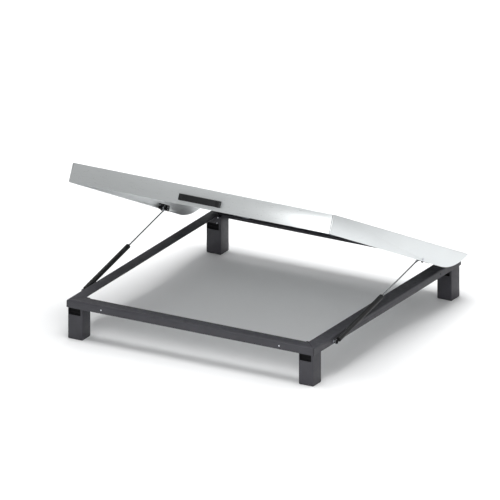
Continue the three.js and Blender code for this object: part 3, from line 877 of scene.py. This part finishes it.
def finish_tree(tree, given, result, geometry):
    """Realize Instances, then Set Material from the tree's own input, then out."""
    realize = tree.nodes.new("GeometryNodeRealizeInstances")
    paint = tree.nodes.new("GeometryNodeSetMaterial")
    link(tree, geometry, realize.inputs["Geometry"])
    link(tree, realize.outputs["Geometry"], paint.inputs["Geometry"])
    link(tree, given.outputs["Material"], paint.inputs["Material"])
    link(tree, paint.outputs["Geometry"], result.inputs["Geometry"])


def facing_rotation(tree, attribute):
    """Rotation that turns +Z to the direction that each point keeps in an attribute."""
    facing = tree.nodes.new("GeometryNodeInputNamedAttribute")
    facing.data_type = "FLOAT_VECTOR"
    facing.inputs["Name"].default_value = attribute
    align = tree.nodes.new("FunctionNodeAlignRotationToVector")
    align.axis = "Z"
    link(tree, facing.outputs["Attribute"], align.inputs["Vector"])
    return align.outputs["Rotation"]


def fastener_tree():
    tree, given, result = new_tree("fasteners", [
        ("Head", "NodeSocketObject"), ("Seed", "NodeSocketInt"), ("Material", "NodeSocketMaterial"),
    ])
    head = tree.nodes.new("GeometryNodeObjectInfo")
    link(tree, given.outputs["Head"], head.inputs["Object"])
    angle = tree.nodes.new("FunctionNodeRandomValue")
    angle.data_type = "FLOAT"
    angle.inputs[3].default_value = 2 * math.pi
    link(tree, given.outputs["Seed"], angle.inputs["Seed"])
    own_turn = tree.nodes.new("FunctionNodeAxisAngleToRotation")
    own_turn.inputs["Axis"].default_value = (0, 0, 1)
    link(tree, angle.outputs[1], own_turn.inputs["Angle"])
    turned_head = tree.nodes.new("FunctionNodeRotateRotation")
    turned_head.rotation_space = "LOCAL"
    link(tree, facing_rotation(tree, "facing"), turned_head.inputs["Rotation"])
    link(tree, own_turn.outputs["Rotation"], turned_head.inputs["Rotate By"])
    place = tree.nodes.new("GeometryNodeInstanceOnPoints")
    link(tree, given.outputs["Geometry"], place.inputs["Points"])
    link(tree, head.outputs["Geometry"], place.inputs["Instance"])
    link(tree, turned_head.outputs["Rotation"], place.inputs["Rotation"])
    finish_tree(tree, given, result, place.outputs["Instances"])
    return tree


# %% Running a tree and keeping its mesh
def set_inputs(modifier, values):
    for item in modifier.node_group.interface.items_tree:
        if item.item_type == "SOCKET" and item.in_out == "INPUT" and item.name in values:
            modifier[item.identifier] = values[item.name]


def grown(name, source, tree, values, body, smooth_below=30):
    """Evaluates a tree on a source mesh and keeps the result as a plain piece on one body."""
    maker = bpy.data.objects.new(f"{name}_maker", source)
    scene.collection.objects.link(maker)
    modifier = maker.modifiers.new("grow", "NODES")
    modifier.node_group = tree
    set_inputs(modifier, values)
    evaluated = maker.evaluated_get(bpy.context.evaluated_depsgraph_get())
    mesh = bpy.data.meshes.new_from_object(evaluated)
    mesh.name = name
    bpy.data.objects.remove(maker)
    bpy.data.meshes.remove(source)
    return kept_piece(name, mesh, body, smooth_below)


def spot_mesh(spots):
    """Points with the direction that each one faces kept as an attribute."""
    mesh = bpy.data.meshes.new("spots")
    mesh.from_pydata([point for point, _ in spots], [], [])
    facing = mesh.attributes.new("facing", "FLOAT_VECTOR", "POINT")
    for index, (_, direction) in enumerate(spots):
        facing.data[index].vector = direction
    return mesh


fasteners = fastener_tree()


def fasten(name, kind, spots, body, material, seed):
    values = {"Head": heads[kind], "Seed": seed, "Material": material}
    piece = grown(name, spot_mesh(spots), fasteners, values, body)
    print(name, len(spots), "heads,", len(piece.data.polygons), "faces")


# %% Screws in the frame
def box_size(node):
    low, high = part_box(node)
    return Vector(low), Vector(high)


rail_low, rail_high = box_size("front_rail")
side_low, side_high = box_size("right_rail")
leg_low, leg_high = box_size("leg_rear_right")
_, brace_high = box_size("brace_front_right")
web_middle = (rail_low.z + rail_high.z) / 2 - 0.002
seat_gap = 0.0002
end_screw_x = 0.68
side_screw_y = 0.716
end_screws = [
    (Vector((sign * end_screw_x, end * (seat_gap - rail_low.y), web_middle)), Vector((0, end, 0)))
    for end in (-1, 1) for sign in sides.values()
]
side_screws = [
    (Vector((sign * (side_high.x + seat_gap), end * side_screw_y, web_middle)), Vector((sign, 0, 0)))
    for sign in sides.values() for end in (-1, 1)
]
fasten("frame_screws", "small_dome", end_screws, "frame", zinc, 11)
fasten("side_rail_screws", "small_dome", side_screws, "frame", black_lacquer, 12)

# Two bolts high on the inner face of every leg, beside its inner corner.
bolt_places = [(0.0215, 0.007), (0.0285, 0.046)]
leg_bolts = []
for sign in sides.values():
    for end in (-1, 1):
        for inset, below in bolt_places:
            x = sign * (leg_low.x + inset)
            place = Vector((x, end * (leg_low.y - seat_gap), leg_high.z - below))
            leg_bolts.append((place, Vector((0, -end, 0))))
fasten("leg_bolts", "small_dome", leg_bolts, "frame", zinc, 13)

brace_sheet = 0.0025
stud_nuts = []
for side, sign in sides.items():
    axle = Vector(joints[f"{side}_cylinder_swivel"]["pos_m"])
    inner_face = brace_high.x - brace_sheet - seat_gap
    stud_nuts.append((Vector((sign * inner_face, axle.y, axle.z)), Vector((-sign, 0, 0))))
fasten("stud_nuts", "nut", stud_nuts, "frame", zinc, 14)


# %% Screws in the lid
def lifted(spots):
    """Places and directions given with the lid lying flat, carried to where the lid is open."""
    rotation = turn.to_3x3()
    return [(lift @ point, rotation @ direction) for point, direction in spots]


plate_low, _ = extent("anchor_plate_right", lay_flat)
upper_flat = lay_flat @ Vector(joints["right_rod_swivel"]["pos_m"])
boss_height = 0.006
plate_face = plate_low.x + boss_height
plate_spots = [(-0.042, 0.012), (0.027, 0.017), (0.074, 0.012), (0.074, -0.004)]
plate_screws = lifted([
    (Vector((sign * (plate_face - seat_gap), upper_flat.y + along, upper_flat.z + up)), Vector((-sign, 0, 0)))
    for sign in sides.values() for along, up in plate_spots
])
fasten("plate_screws", "small_dome", plate_screws, "lid", zinc, 21)

fascia_low, fascia_high = extent("front_fascia", lay_flat)
mount_low, mount_high = extent("handle_mount_right", lay_flat)
mount_x = (mount_low.x + mount_high.x) / 2
mount_z = (mount_low.z + mount_high.z) / 2
sheet = 0.002
handle_bolts = lifted([
    (Vector((sign * mount_x, fascia_low.y + sheet + seat_gap, mount_z + rise)), Vector((0, 1, 0)))
    for sign in sides.values() for rise in (-0.012, 0.012)
])
fasten("handle_bolts", "bolt", handle_bolts, "lid", zinc, 22)

leaf_screw_x = (-0.047, -0.03, 0.03, 0.047)
leaf_sheet = 0.0025
fixed_reach = 0.014
moving_reach = 0.03
fixed_spots, moving_spots = [], []
for place in hinge_places:
    low, high = extent(f"hinge_fixed_leaf_{place}")
    middle = (low.x + high.x) / 2
    leaf_top = low.z + leaf_sheet
    fixed_spots += [
        (Vector((middle + x, low.y + fixed_reach, leaf_top)), Vector((0, 0, 1))) for x in leaf_screw_x
    ]
    low, high = extent(f"hinge_moving_leaf_{place}", lay_flat)
    leaf_bottom = high.z - leaf_sheet
    moving_spots += [
        (Vector((middle + x, low.y + moving_reach, leaf_bottom)), Vector((0, 0, -1))) for x in leaf_screw_x
    ]
fasten("fixed_leaf_screws", "sunk", fixed_spots, "frame", zinc, 23)
fasten("moving_leaf_screws", "sunk", lifted(moving_spots), "lid", zinc, 25)


# %% Rivets along the turned-in edges
def evenly(start, end, spacing):
    """Places from start to end with no more than the spacing between them."""
    count = math.ceil((end - start) / spacing)
    return [start + (end - start) * step / count for step in range(count + 1)]


flange_under = fascia_high.z - sheet - 0.0001
rivet_inset = 0.014
rivet_spacing = 0.16
outermost_rivet = 0.94
rivets_from_front = 0.06
rivets_from_rear = 0.04
rivet_spots = [
    (Vector((x, fascia_low.y + rivet_inset, flange_under)), Vector((0, 0, -1)))
    for x in evenly(-outermost_rivet, outermost_rivet, rivet_spacing)
]
for sign in sides.values():
    rivet_spots += [
        (Vector((sign * (deck_high.x - rivet_inset), y, flange_under)), Vector((0, 0, -1)))
        for y in evenly(deck_low.y + rivets_from_front, deck_high.y - rivets_from_rear, rivet_spacing)
    ]
fasten("fascia_rivets", "rivet", lifted(rivet_spots), "lid", zinc, 24)

# %% [markdown]
# ## Welds
# The bearers under the deck are welded to each other, and the braces are stitched to the rails. A hand
# weld is a row of overlapping drops. The tree walks along a path, sets a squashed bead at every pitch
# and varies its size a little. A plain round bar along the path would be simpler, but it has no ripple.

# %% A tree that lays a bead along a path
def weld_tree():
    tree, given, result = new_tree("weld_bead", [
        ("Pitch", "NodeSocketFloat"), ("Width", "NodeSocketFloat"), ("Seed", "NodeSocketInt"),
        ("Material", "NodeSocketMaterial"),
    ])
    path = tree.nodes.new("GeometryNodeMeshToCurve")
    link(tree, given.outputs["Geometry"], path.inputs["Mesh"])
    steps = tree.nodes.new("GeometryNodeResampleCurve")
    steps.mode = "LENGTH"
    link(tree, path.outputs["Curve"], steps.inputs["Curve"])
    link(tree, given.outputs["Pitch"], steps.inputs["Length"])
    drop = tree.nodes.new("GeometryNodeMeshUVSphere")
    drop.inputs["Segments"].default_value = 8
    drop.inputs["Rings"].default_value = 5
    link(tree, given.outputs["Width"], drop.inputs["Radius"])
    tangent = tree.nodes.new("GeometryNodeInputTangent")
    align = tree.nodes.new("FunctionNodeAlignRotationToVector")
    align.axis = "Z"
    link(tree, tangent.outputs["Tangent"], align.inputs["Vector"])
    size = tree.nodes.new("FunctionNodeRandomValue")
    size.data_type = "FLOAT_VECTOR"
    size.inputs[0].default_value = (0.42, 0.42, 0.5)
    size.inputs[1].default_value = (0.52, 0.52, 0.62)
    link(tree, given.outputs["Seed"], size.inputs["Seed"])
    place = tree.nodes.new("GeometryNodeInstanceOnPoints")
    link(tree, steps.outputs["Curve"], place.inputs["Points"])
    link(tree, drop.outputs["Mesh"], place.inputs["Instance"])
    link(tree, align.outputs["Rotation"], place.inputs["Rotation"])
    link(tree, size.outputs[0], place.inputs["Scale"])
    finish_tree(tree, given, result, place.outputs["Instances"])
    return tree


weld_beads = weld_tree()
bead_pitch = 0.0024
bead_width = 0.0045


def weld(name, paths, body, material, seed):
    """Beads along paths, each a list of corner points in metres."""
    points, edges = [], []
    for path in paths:
        start = len(points)
        points += path
        edges += [(start + step, start + step + 1) for step in range(len(path) - 1)]
    source = bpy.data.meshes.new("weld_path")
    source.from_pydata(points, edges, [])
    values = {"Pitch": bead_pitch, "Width": bead_width, "Seed": seed, "Material": material}
    piece = grown(name, source, weld_beads, values, body, smooth_below=60)
    print(name, len(paths), "beads,", len(piece.data.polygons), "faces")


# %% Beads on the bearers and the braces
def bearer_welds():
    """Round both ends of every cross bearer: down one side, along the bottom and up the other."""
    paths = []
    for node in [name for name in bearers if not name.startswith("side")]:
        low, high = extent(node, lay_flat)
        drop = 0.001
        for sign in sides.values():
            x = sign * high.x
            paths.append([lift @ Vector(corner) for corner in (
                (x, low.y - 0.0005, high.z - drop), (x, low.y - 0.0005, low.z - 0.0005),
                (x, high.y + 0.0005, low.z - 0.0005), (x, high.y + 0.0005, high.z - drop),
            )])
    return paths


def brace_welds():
    """Stitches along the braces' lower edges, against the rails' webs, clear of the leg."""
    paths = []
    stitch = 0.03
    for x_sign in (-1, 1):
        for y_sign in (-1, 1):
            end = "rear" if y_sign > 0 else "front"
            side = "right" if x_sign > 0 else "left"
            low, high = box_size(f"brace_{end}_{side}")
            z = low.z - 0.0004
            outer_x = max(abs(low.x), abs(high.x)) - 0.0006
            outer_y = max(abs(low.y), abs(high.y)) - 0.0006
            for start in (0.13, 0.25):
                ends = (start, start + stitch)
                paths.append([Vector((x_sign * outer_x, y_sign * (outer_y - reach), z)) for reach in ends])
                paths.append([Vector((x_sign * (outer_x - reach), y_sign * outer_y, z)) for reach in ends])
    return paths


weld("bearer_welds", bearer_welds(), "lid", bearer_paint, 31)
weld("brace_welds", brace_welds(), "frame", powder_coat, 32)

# %% [markdown]
# ## Small moulded parts
# Behind the window of every leg sits a black moulded block, with a rib across its front between two shallow
# pockets.
# Its near-black finish is partly painted shade: it stands in for the shade inside the window. One function
# draws it to fit each leg's bore, and its edges are rounded like those of the other mouldings.

# %% Clamp blocks in the legs
def stepped_block(low, high, pocket, rib):
    """A block whose front, towards -Y, has two pockets with a rib between them."""
    block = bmesh.new()
    bmesh.ops.create_cube(block, size=1.0)
    for vertex in block.verts:
        share = vertex.co + Vector((0.5, 0.5, 0.5))
        vertex.co = Vector(low[axis] + (high[axis] - low[axis]) * share[axis] for axis in range(3))
    middle = (low.z + high.z) / 2
    for z in (middle - rib / 2, middle + rib / 2):
        bmesh.ops.bisect_plane(block, geom=block.verts[:] + block.edges[:] + block.faces[:],
                               plane_co=(0, 0, z), plane_no=(0, 0, 1))
    fronts = [face for face in block.faces if face.normal.y < -0.9]
    fronts = [face for face in fronts if abs(face.calc_center_median().z - middle) > rib / 2]
    bmesh.ops.inset_individual(block, faces=fronts, thickness=0.004, depth=-pocket)
    return block


window_top = 0.057
window_height = 0.047
for corner in corners:
    low, high = box_size(f"leg_{corner}")
    wall = 0.003
    clearance = 0.0006
    top = rail_high.z - window_top + 0.004
    block_low = Vector((low.x + wall + clearance, low.y + wall + 0.004, top - window_height - 0.008))
    block_high = Vector((high.x - wall - clearance, low.y + 0.03, top))
    block = stepped_block(block_low, block_high, 0.003, 0.009)
    round_edges(block, 0.0009, 2)
    # Near-black block, darker than the black plastic: its own colour and painted shade for the inside of the
    # window.
    add_piece(f"leg_block_{corner}", block, black_plastic_and_painted_shade, "frame")
print("leg blocks", len(corners))


# %% Jam nuts on the rods
def jam_nut(side):
    """The nut that locks the rod in its socket, six-sided, round the rod at the socket's neck."""
    matrix, length = strut_frame(side)
    _, rod_end, radius = span_along(f"strut_rod_{side}", matrix)
    nut = nut_body(17, 5, radius + 0.15)
    nut.transform(Matrix.Translation((0, 0, rod_end - 6.2)))
    nut.transform(matrix @ Matrix.Scale(millimetre, 4))
    add_piece(f"strut_nut_{side}", nut, zinc, f"{side}_rod")
    print(side, "rod ends", round(length * 1000 - rod_end, 1), "mm before the upper ball")


for side in sides:
    jam_nut(side)

# %% [markdown]
# ## Painted shade in the mitres
# Where two rails meet at a corner, a thin near-black strip lies in the joint, a little below the coat. It is
# painted
# shade: it darkens the gap as the shade in a real mitre would. It is a strip of four-sided rings that follows
# the rails' section along the top, over the bend and down the web. A flat plate set into the joint would be
# simpler, but it would show at the bend.

# %% Mitre shade strips
shade_strip_depths = (0.0003, 0.0024)
shade_strip_half_width = 0.00095
rail_bend = 0.012


def section_path(depth, steps=8):
    """The rails' section at a depth below the outer surface, as (inward, height) pairs."""
    path = [(side_high.x - side_low.x - 0.001, side_high.z - depth)]
    for step in range(steps + 1):
        angle = math.pi / 2 * step / steps
        reach = rail_bend - depth
        path.append((rail_bend - reach * math.sin(angle), side_high.z - rail_bend + reach * math.cos(angle)))
    return path + [(depth, side_low.z + 0.0005)]


def mitre_shade_strip(sign, end):
    across_joint = Vector((sign, -end, 0)).normalized() * shade_strip_half_width
    outer, inner = (section_path(depth) for depth in shade_strip_depths)
    mesh_data = bmesh.new()
    rings = []
    for points in zip(outer, inner):
        places = [
            Vector((sign * (side_high.x - inward), end * (-rail_low.y - inward), height))
            for inward, height in points
        ]
        ring = [places[0] - across_joint, places[0] + across_joint,
                places[1] + across_joint, places[1] - across_joint]
        rings.append([mesh_data.verts.new(place) for place in ring])
    return capped(mesh_data, rings)


for corner in corners:
    sign = 1 if corner.endswith("right") else -1
    end = 1 if corner.startswith("rear") else -1
    # Near-black strip in each mitre gap: painted shade for the shadow in the joint.
    add_piece(f"mitre_seal_{corner}", mitre_shade_strip(sign, end), black_plastic_and_painted_shade, "frame")
print("mitre seals", len(corners))

# %% Clearing the models
for head in heads.values():
    mesh = head.data
    bpy.data.objects.remove(head)
    bpy.data.meshes.remove(mesh)
